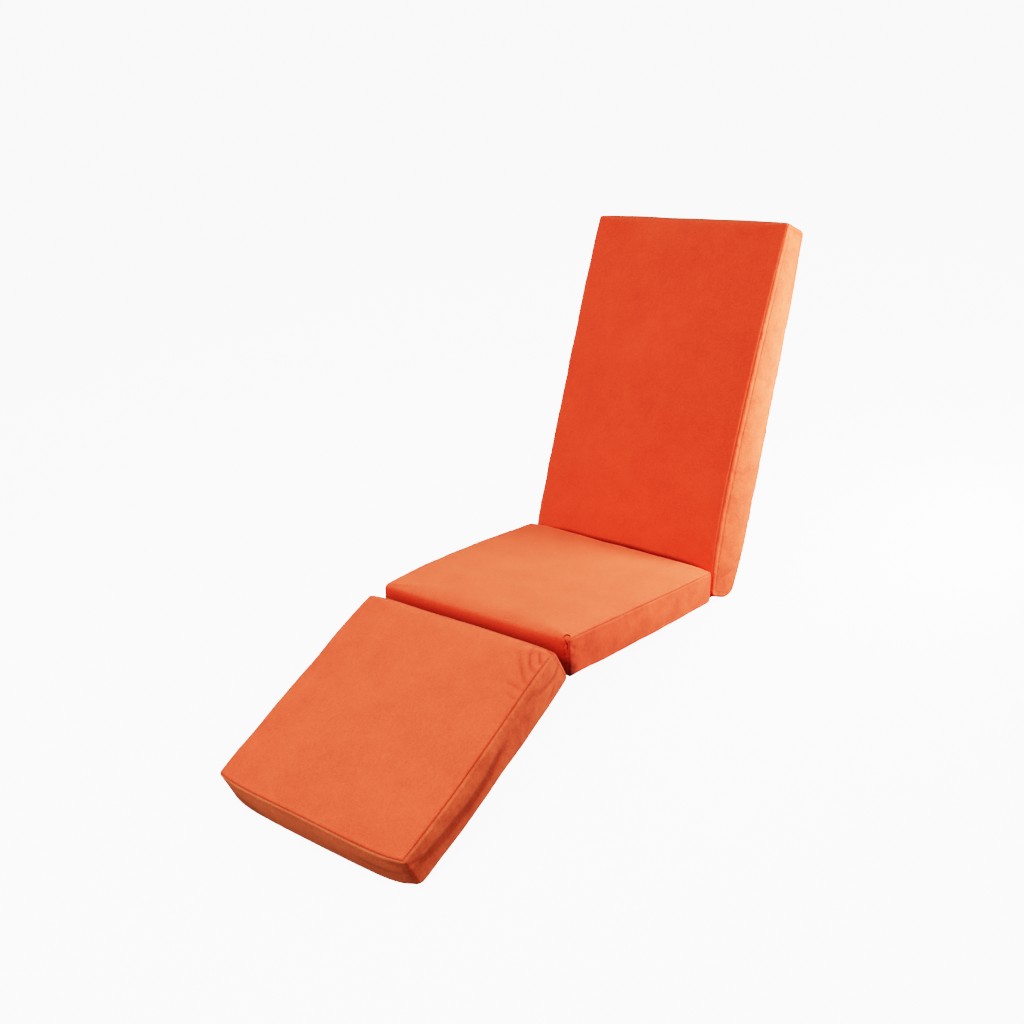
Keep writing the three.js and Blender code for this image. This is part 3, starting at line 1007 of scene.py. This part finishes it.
@dataclass
class FilledSection:
    """One filled box section: a panel that wraps it lengthwise and a boxing strip down each side."""

    name: str
    node: str
    place: Matrix
    folds: tuple[Fold, ...]
    seam: SeamStyle
    cloth: CoverCloth
    fill: float = 0.8
    end_seam: bool = False
    # Painted shade on the rounded end, and a browner painted shade tint on the side strips and the start
    end_shade: float = 0.0
    side_shade_tint: float = 0.0
    start_shade_tint: float = 0.0
    soft_start: bool = False
    sway_mm: float = 0.5
    long_edge_mm: float = 15.0
    roll_mm: tuple[float, float] = (0.0, 0.0)
    roll_reach_mm: float = 20.0
    roll_inside_mm: float = 45.0
    round_reach_mm: float = 36.0
    round_rounds: int = 110
    # Painted sheen on the side strips and on the rolled strip below the top seam
    strip_painted_sheen: float = 0.45
    roll_painted_sheen: float = 1.6
    # How much the painted shade tint on the side strips drops towards the section's end
    knee_shade_tint_drop: float = 0.5
    # The most painted shade in creases and in gaps between sections
    crease_shade_most: float = 0.8
    gap_shade_most: float = 1.4
    piece: bpy.types.Object | None = None
    lines: list[SeamLine] = field(default_factory=list)
    tree: BVHTree | None = None

    def build(self, nodes: dict[str, bpy.types.Object]) -> None:
        """Makes the section's mesh.

        Args:
            nodes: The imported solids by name.
        """
        cage = solid_copy(nodes[self.node], self.name, self.place, sewn=True)
        self._crease_seams(cage)
        ripple = self.cloth.settle(cage)
        subdivide(cage, 2)
        mesh = cage.data
        if self.soft_start:
            move_points(mesh, self._rounded_start(points_of(mesh), edges_of(mesh)))
        points, normals = points_of(mesh), normals_of(mesh)
        lines = seam_lines(mesh)
        log.info("%s: %d faces, %d seams", self.name, len(mesh.polygons), len(lines))
        rise, groove_and_shade = self.seam.rise_at(points, normals, lines)
        rise += self._sway(points)
        if ripple is not None:
            rise += carried_over(*ripple, points)
        for fold in self.folds:
            depth = fold.depth_at(points, normals)
            rise -= depth
            # Painted shade in each crease, darker for deeper ones, up to crease_shade_most
            groove_and_shade = np.maximum(groove_and_shade, np.minimum(depth / MM * fold.shade, self.crease_shade_most))
        rise *= self._off_floor(points)
        move_points(mesh, points + normals * rise[:, None] - self._roll(points))
        # Painted shade on the rounded end of the section
        groove_and_shade = np.maximum(groove_and_shade, self.end_shade * self._on_end(points, normals))
        self._note(mesh, PAINTED_SHADE, groove_and_shade)
        self._weather(mesh, points, normals)
        weave_map(mesh)
        mesh.transform(self.place)
        mesh.shade_smooth()
        self.piece, self.lines = cage, lines
        self.tree = BVHTree.FromObject(cage, bpy.context.evaluated_depsgraph_get())

    def _weather(self, mesh: bpy.types.Mesh, points: np.ndarray, normals: np.ndarray) -> None:
        """Notes where the cover gets painted sheen, paler on upward faces, below the top seam and on the side
        strips, and where it gets a browner painted shade tint.

        Args:
            mesh: The mesh that takes the notes.
            points: Places in the section's own frame.
            normals: Outward directions there.
        """
        facing = normals @ np.array(self.place.to_3x3())[2]
        high = (points[:, 2] - points[:, 2].max()) / MM / self.roll_reach_mm + 1.0
        high *= max(self.roll_mm) > 0
        strip = np.clip((np.abs(normals[:, 0]) - 0.5) / 0.3, 0.0, 1.0)
        start = np.clip((-normals[:, 1] - 0.4) / 0.3, 0.0, 1.0)
        # Painted sheen: upward faces, the rolled strip below the top seam, and the side strips
        fade = np.maximum.reduce((facing / 0.3 - 2.0, self.roll_painted_sheen * high, self.strip_painted_sheen * strip))
        # Painted shade tint: side strips, stronger towards the start, and the start itself
        shade_tint_share = 1.0 - self.knee_shade_tint_drop * points[:, 1] / points[:, 1].max()
        self._note(mesh, PAINTED_SHEEN, np.clip(fade, 0.0, 1.0))
        self._note(mesh, STRIP, strip)
        self._note(mesh, SHADE_TINT, np.maximum(self.side_shade_tint * strip * shade_tint_share, self.start_shade_tint * start))

    def _roll(self, points: np.ndarray) -> np.ndarray:
        """Returns how far each point moves in where the side strip rolls over below its upper seam."""
        left, right = self.roll_mm
        amount = np.where(points[:, 0] > 0, right, left)
        below = np.clip((points[:, 2].max() - points[:, 2]) / MM / self.roll_reach_mm, 0.0, 1.0)
        inside = (np.abs(points[:, 0]).max() - np.abs(points[:, 0])) / MM
        share = (1 - below) ** 2 * np.exp(-((inside / self.roll_inside_mm) ** 2))
        shift = np.zeros_like(points)
        shift[:, 0] = np.sign(points[:, 0]) * amount * MM * share
        return shift

    @staticmethod
    def _on_end(points: np.ndarray, normals: np.ndarray) -> np.ndarray:
        """Returns how far round onto the section's end each point is, from 0 to 1."""
        near = np.clip((points[:, 1] - points[:, 1].max()) / MM / 20.0 + 1.0, 0.0, 1.0)
        return near * np.clip((normals[:, 1] - 0.2) / 0.3, 0.0, 1.0)

    def _rounded_start(self, points: np.ndarray, edges: np.ndarray) -> np.ndarray:
        """Returns the points with the upright corners at the section's start rounded, below the top seam."""
        corner = points[:, 1].min()
        side = np.abs(points[:, 0]).max()
        gap = np.hypot(np.abs(points[:, 0]) - side, points[:, 1] - corner) / MM
        below = np.clip((points[:, 2].max() / MM - 5.0 - points[:, 2] / MM) / 12.0, 0.0, 1.0)
        share = (np.clip((self.round_reach_mm - gap) / 20.0, 0.0, 1.0) * below)[:, None]
        soft = np.column_stack([smoothed(points[:, k], edges, self.round_rounds) for k in range(3)])
        return points + (soft - points) * share * (1.0, 1.0, 0.0)

    def shade_beside(self, other: "FilledSection", reach_mm: float, rise: float) -> None:
        """Paints shade on the cover in the gap beside another section: the narrower the gap, the darker.

        Args:
            other: The section on the far side of the gap.
            reach_mm: How wide the gap is where the shade begins.
            rise: How fast it deepens from there.
        """
        mesh = self.piece.data
        # Painted shade goes into the same note as the painted shade of seams and creases
        depth = mesh.attributes[PAINTED_SHADE].data
        for vertex, value in zip(mesh.vertices, depth):
            hit, _, _, gap = other.tree.find_nearest(vertex.co, reach_mm * MM)
            if hit is not None:
                shade = rise * (1.0 - gap / (reach_mm * MM))
                value.value = max(value.value, min(self.gap_shade_most, shade))

    @staticmethod
    def _note(mesh: bpy.types.Mesh, name: str, values: np.ndarray) -> None:
        """Writes one number for each vertex into a mesh, for its finish to read."""
        mesh.attributes.new(name, "FLOAT", "POINT").data.foreach_set("value", values.astype(np.float32))

    def _crease_seams(self, cage: bpy.types.Object) -> None:
        """Creases the sewn edges of the cage, and halves its long faces."""
        shell = bmesh.new()
        shell.from_mesh(cage.data)
        shell.normal_update()
        sharp = shell.edges.layers.float.new("crease_edge")
        for edge in shell.edges:
            if self.soft_start and self._up_the_start(edge):
                edge.seam = False
            if edge.seam or (self.end_seam and self._on_end_corner(edge)):
                edge.seam = True
                edge[sharp] = 1.0
        long = []
        for edge in shell.edges:
            run = edge.verts[1].co - edge.verts[0].co
            if run.length > self.long_edge_mm * MM and abs(run.y) > MOSTLY * run.length:
                long.append(edge)
        bmesh.ops.subdivide_edges(shell, edges=long, cuts=1, use_grid_fill=True)
        shell.to_mesh(cage.data)
        shell.free()

    @staticmethod
    def _up_the_start(edge: bmesh.types.BMEdge) -> bool:
        """Returns whether an edge runs up the section's start."""
        run = edge.verts[1].co - edge.verts[0].co
        return abs(run.z) > 0.75 * run.length and max(v.co.y for v in edge.verts) < 14 * MM

    @staticmethod
    def _on_end_corner(edge: bmesh.types.BMEdge) -> bool:
        """Returns whether an edge runs along the middle of the rounded corner between start and face."""
        run = edge.verts[1].co - edge.verts[0].co
        corner = Vector((0.0, -1.0, 1.0)).normalized()
        flat = (Vector((0.0, v.normal.y, v.normal.z)).normalized() for v in edge.verts)
        near = math.radians(14)
        return abs(run.x) > MOSTLY * run.length and all(n.angle(corner, math.pi) < near for n in flat)

    def _sway(self, points: np.ndarray) -> np.ndarray:
        """Returns the slow unevenness of the filling, in metres."""
        chance = np.random.default_rng(len(self.name))
        sway = np.zeros(len(points))
        for length_mm in (70.0, 95.0, 130.0, 180.0):
            way = chance.normal(size=3)
            way *= 2 * np.pi / (length_mm * MM * np.linalg.norm(way))
            sway += np.sin(points @ way + chance.uniform(0.0, 6.28))
        return sway * self.sway_mm * MM / 2

    def _off_floor(self, points: np.ndarray) -> np.ndarray:
        """Returns 0 for a point that lies on the floor, and 1 for one well above it."""
        up = np.array(self.place)[2]
        height = points @ up[:3] + up[3]
        return np.clip((height / MM - 0.2) / 6.0, 0.0, 1.0)

    def dress(self, canvas: bpy.types.Material) -> None:
        """Args:
            canvas: The material.
        """
        self.piece.data.materials.append(canvas)
        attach(self.piece, BODY)
        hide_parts(self.node)


@dataclass
class HingeWeb:
    """A strip of canvas that joins two sections along their lower edges."""

    name: str
    node: str
    place: Matrix
    width_mm: float
    depth_mm: float
    between: tuple[str, str]
    piece: bpy.types.Object | None = None

    def build(self, nodes: dict[str, bpy.types.Object]) -> None:
        """Makes the web's mesh.

        Args:
            nodes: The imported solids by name.
        """
        web = solid_copy(nodes[self.node], self.name, self.place, sewn=False)
        shell = bmesh.new()
        shell.from_mesh(web.data)
        sharp = shell.edges.layers.float.new("crease_edge")
        for edge in shell.edges:
            if edge.calc_face_angle() > SHARP_ANGLE:
                edge[sharp] = 0.8
        shell.to_mesh(web.data)
        shell.free()
        subdivide(web, 2)
        weave_map(web.data)
        web.data.transform(self.place)
        web.data.shade_smooth()
        self.piece = web

    def dress(self, canvas: bpy.types.Material) -> None:
        """Args:
            canvas: The material.
        """
        self.piece.data.materials.append(canvas)
        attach(self.piece, BODY)
        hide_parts(self.node)


@dataclass
class LoungerCushion:
    """The whole cushion: leg, seat and back sections and the two webs between them."""

    stance: Stance
    sections: list[FilledSection] = field(default_factory=list)
    webs: list[HingeWeb] = field(default_factory=list)
    stitches: list[Stitching] = field(default_factory=list)

    def __post_init__(self) -> None:
        """Lists the pieces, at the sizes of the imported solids."""
        leg = self.stance.place(30.0, (-400.372, -230.0))
        seat = self.stance.place(0.0, (0.0, 0.0))
        back = self.stance.place(71.0, (547.805, -15.069))
        seam, cloth = SeamStyle(), CoverCloth()
        banded = SeamStyle(
            valley_mm=1.0, topstitch_mm=10.0, topstitch_depth_mm=0.7, pucker_mm=0.2, side_pucker_mm=0.5,
            shade=0.45,
        )
        self.sections = [
            FilledSection(
                "leg_cushion", "leg_section", leg, leg_folds(), seam, cloth, end_seam=True,
                end_shade=0.9, side_shade_tint=0.65, start_shade_tint=1.0, soft_start=True, roll_mm=(3.0, 9.0),
            ),
            FilledSection(
                "seat_cushion", "seat_section", seat, seat_folds(), seam, cloth, roll_mm=(2.0, 5.0),
                roll_reach_mm=14.0,
            ),
            FilledSection(
                "back_cushion", "back_section", back, back_folds(), banded, cloth, end_shade=0.6
            ),
        ]
        self.webs = [
            HingeWeb("knee_hinge", "knee_web", seat, 446.0, 46.0, ("leg_cushion", "seat_cushion")),
            HingeWeb("hip_hinge", "hip_web", seat, 446.0, 77.0, ("seat_cushion", "back_cushion")),
        ]
        orange = Thread("orange_thread", (0.85, 0.16, 0.06))
        red = Thread("red_thread", (0.24, 0.014, 0.008))
        self.stitches = [
            Stitching("orange_stitches", orange, "canvas", beside_seams={"back_cushion": 10.0}),
            Stitching("red_stitches", red, "canvas", red_lines(), knots=knots()),
        ]

    def build(self, nodes: dict[str, bpy.types.Object]) -> None:
        """Makes, dresses and reports each piece.

        Args:
            nodes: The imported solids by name.
        """
        canvas = Canvas("orange_canvas").make()
        # The webs take a darker copy of the canvas, as painted shade
        web_canvas = Canvas("web_canvas", colour=(0.55, 0.030, 0.014)).make()
        for section in self.sections:
            section.build(nodes)
            section.dress(canvas)
        leg, seat, back = self.sections
        # Painted shade in the gaps between the sections
        seat.shade_beside(leg, 35.5, 2.2)
        seat.shade_beside(back, 8.0, 3.0)
        back.shade_beside(seat, 14.0, 4.0)
        for web in self.webs:
            web.build(nodes)
            web.dress(web_canvas)
        for stitches in self.stitches:
            stitches.build({section.name: section for section in self.sections})
            stitches.dress()


def leg_folds() -> tuple[Fold, ...]:
    """Returns the creases of the leg section's cover."""
    knee_fan = (
        Fold(Panel.TOP, ((193, 457), (202, 434), (218, 414), (238, 402)), 3.4, 2.4, shade=0.28),
        Fold(Panel.TOP, ((176, 436), (200, 408), (224, 386), (240, 376)), 4.0, 2.2, shade=0.26),
        Fold(Panel.TOP, ((214, 448), (226, 434), (239, 421)), 2.4, 2.2, shade=0.35),
        Fold(Panel.TOP, ((196, 367), (220, 365), (240, 362)), 3.4, 1.8),
        Fold(Panel.TOP, ((210, 347), (228, 344), (240, 340)), 3.4, 1.4),
        Fold(Panel.TOP, ((222, 472), (240, 450)), 9.0, 4.0),
    )
    hollow = ((16, 44), (50, 42), (90, 37), (150, 33), (210, 36), (268, 46))
    side = (
        Fold(Panel.RIGHT, ((462, 78), (444, 78)), 8.0, 4.0),
        Fold(Panel.RIGHT, ((454, 50), (432, 39), (404, 43), (376, 52)), 3.0, 2.8, 6.0, 0.26),
        Fold(Panel.RIGHT, ((418, 26), (402, 18), (384, 16)), 3.0, 1.6, 5.0),
        Fold(Panel.RIGHT, ((384, 58), (362, 61), (338, 58)), 3.0, 1.8, 5.0),
        # A hollow along the side, drawn darker by painted shade
        Fold(Panel.RIGHT, hollow, 5.5, 2.4, 10.0, 0.8),
    )
    foot = (
        Fold(Panel.START, ((-236, 56), (-160, 34), (-90, 16)), 7.0, 2.4, 16.0),
        Fold(Panel.START, ((110, 50), (180, 42), (238, 40)), 3.5, 1.6, 8.0),
        Fold(Panel.START, ((205, 68), (238, 60)), 3.0, 1.6, 6.0),
        # Mostly painted shade down the rounded corner between the foot end and the right side, with a slight
        # dent
        Fold(Panel.START, ((234, 66), (237, 36), (236, 4)), 9.0, 0.4, shade=1.3),
        Fold(Panel.RIGHT, ((2, 62), (14, 55), (30, 52)), 3.0, 1.8, 6.0),
    )
    return knee_fan + side + foot


def seat_folds() -> tuple[Fold, ...]:
    """Returns the creases of the seat section's cover."""
    return (
        Fold(Panel.START, ((238, 66), (222, 58)), 3.0, 1.6),
        Fold(Panel.START, ((238, 46), (220, 40)), 3.0, 1.6),
        Fold(Panel.START, ((238, 26), (222, 22)), 3.0, 1.4),
        Fold(Panel.RIGHT, ((2, 60), (16, 52)), 3.0, 1.5),
        Fold(Panel.RIGHT, ((2, 38), (18, 32)), 3.0, 1.5),
        Fold(Panel.RIGHT, ((2, 18), (16, 14)), 3.0, 1.3),
    )


def back_folds() -> tuple[Fold, ...]:
    """Returns the creases of the back section's cover."""
    spots = (430, 392, 352, 318, 276, 240, 196, 150)
    scallops = tuple(Fold(Panel.RIGHT, ((along + 16, 4), (along, 22)), 4.0, 1.6) for along in spots)
    corner = (
        Fold(Panel.RIGHT, ((104, 4), (86, 20), (74, 34)), 4.5, 1.8),
        Fold(Panel.RIGHT, ((66, 26), (52, 44), (44, 58)), 4.5, 1.8),
        Fold(Panel.RIGHT, ((92, 40), (80, 56)), 4.0, 1.2),
    )
    # Mostly painted shade where the back's lower end turns towards the floor, with a slight dent
    painted_shade_under = (Fold(Panel.START, ((-400, 38), (400, 38)), 60.0, 0.3, shade=2.5),)
    return scallops + corner + painted_shade_under


def red_lines() -> tuple[StitchLine, ...]:
    """Returns the rows of dark red stitches that close the corners."""
    tight = StitchRow(length_mm=2.4, gap_mm=3.4, thickness_mm=0.8, slant_mm=1.4)
    coarse = StitchRow(length_mm=4.2, gap_mm=3.8, thickness_mm=1.3, slant_mm=3.0)
    across = StitchRow(length_mm=3.2, gap_mm=9.0, thickness_mm=0.8)
    return (
        StitchLine("seat_cushion", Panel.START, ((226.0, 62.0), (231.0, 8.0)), coarse),
        StitchLine("seat_cushion", Panel.START, ((-233.0, 68.0), (-234.0, 8.0)), tight),
        StitchLine("leg_cushion", Panel.RIGHT, ((453.0, 66.0), (454.0, 10.0)), tight),
        StitchLine("seat_cushion", Panel.RIGHT, ((1.0, 44.0), (14.0, 40.0)), across),
        StitchLine("seat_cushion", Panel.RIGHT, ((1.0, 20.0), (14.0, 18.0)), across),
    )


def knots() -> tuple[StitchLine, ...]:
    """Returns the loose thread ends at the seat's front corner."""
    thick = StitchRow(thickness_mm=2.2)
    over = ((224.0, 1.0), (227.0, 8.0), (232.0, 10.0), (236.0, 6.0))
    down = ((228.0, 73.0), (233.0, 68.0), (235.5, 60.0), (234.0, 53.0))
    return (
        StitchLine("seat_cushion", Panel.TOP, over, thick),
        StitchLine("seat_cushion", Panel.START, down, thick),
    )


# Studio


@dataclass(frozen=True)
class Softbox:
    """A square soft light."""

    name: str
    place: tuple[float, float, float]
    target: tuple[float, float, float]
    size: float
    power: float
    colour: tuple[float, float, float] = (1.0, 1.0, 1.0)

    def build(self) -> None:
        """Adds the light to the scene."""
        lamp = bpy.data.lights.new(self.name, "AREA")
        lamp.shape = "SQUARE"
        lamp.size = self.size
        lamp.energy = self.power
        lamp.color = self.colour
        light = bpy.data.objects.new(self.name, lamp)
        light.location = self.place
        aim = Vector(self.target) - Vector(self.place)
        light.rotation_euler = aim.to_track_quat("-Z", "Y").to_euler()
        light.visible_camera = False
        bpy.context.scene.collection.objects.link(light)


@dataclass(frozen=True)
class Studio:
    """The pale floor and the wall far round it, the soft lights and the camera."""

    camera_place: tuple[float, float, float]
    camera_azimuth_deg: float
    camera_elevation_deg: float
    camera_roll_deg: float
    lens_mm: float = 45.83
    sensor_mm: float = 36.0
    camera_reach: float = 200.0
    floor_size: float = 200.0
    wall_radius: float = 30.0
    wall_height: float = 120.0
    world_strength: float = 0.25
    lights: tuple[Softbox, ...] = ()

    def build_camera(self) -> None:
        """Adds the camera, at the angle of the photograph to the cushion."""
        data = bpy.data.cameras.new("photo_camera")
        data.lens = self.lens_mm
        data.sensor_width = self.sensor_mm
        data.clip_end = self.camera_reach
        camera = bpy.data.objects.new("photo_camera", data)
        tilt = math.radians(90 - self.camera_elevation_deg)
        turn = Euler((tilt, 0.0, math.radians(self.camera_azimuth_deg)))
        roll = Matrix.Rotation(math.radians(self.camera_roll_deg), 4, "Z")
        camera.matrix_world = Matrix.Translation(self.camera_place) @ turn.to_matrix().to_4x4() @ roll
        bpy.context.scene.collection.objects.link(camera)
        bpy.context.scene.camera = camera

    def build_stage(self) -> None:
        """Adds the floor, the lights and the world."""
        deselect_all()
        bpy.ops.mesh.primitive_plane_add(size=self.floor_size)
        floor = bpy.context.active_object
        floor.name = "studio_floor"
        deselect_all()
        bpy.ops.mesh.primitive_cylinder_add(
            vertices=64, radius=self.wall_radius, depth=self.wall_height, end_fill_type="NOTHING"
        )
        wall = bpy.context.active_object
        wall.name = "studio_wall"
        wall.visible_shadow = False
        pale = PaleFloor().make()
        for backdrop in (floor, wall):
            backdrop.data.materials.append(pale)
            backdrop.visible_diffuse = False
            backdrop.visible_glossy = False
        for light in self.lights:
            light.build()
        world = bpy.data.worlds.new("studio")
        world.use_nodes = True
        sky = world.node_tree.nodes["Background"]
        sky.inputs["Color"].default_value = (1.0, 1.0, 1.0, 1.0)
        sky.inputs["Strength"].default_value = self.world_strength
        scene = bpy.context.scene
        scene.world = world
        scene.view_settings.view_transform = "Filmic"
        scene.view_settings.look = "High Contrast"


STUDIO = Studio(
    camera_place=(1.59546, -1.64626, 1.48472),
    camera_azimuth_deg=45.06,
    camera_elevation_deg=27.17,
    camera_roll_deg=-11.515,
    lights=(
        Softbox("right_softbox", (1.2, 1.15, 1.15), (0.0, 0.3, 0.3), 0.8, 28.0),
        Softbox("rear_softbox", (0.8, 0.74, 0.36), (0.2, 0.55, 0.45), 0.4, 22.0),
        Softbox("top_softbox", (0.0, -0.9, 1.7), (0.0, -0.6, 0.1), 1.0, 27.0),
        Softbox("left_softbox", (-2.0, 0.3, 2.0), (0.0, 0.0, 0.3), 1.2, 22.0),
        Softbox("front_softbox", (-0.2, -2.8, 2.0), (0.0, 0.3, 0.4), 1.4, 26.0),
    ),
)


def main() -> None:
    """Builds the scene."""
    logging.basicConfig(level=logging.INFO, format="%(message)s")
    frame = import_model()
    STUDIO.build_camera()
    cushion = LoungerCushion(Stance())
    cushion.build(frame["nodes"])
    STUDIO.build_stage()


if __name__ == "__main__":
    main()
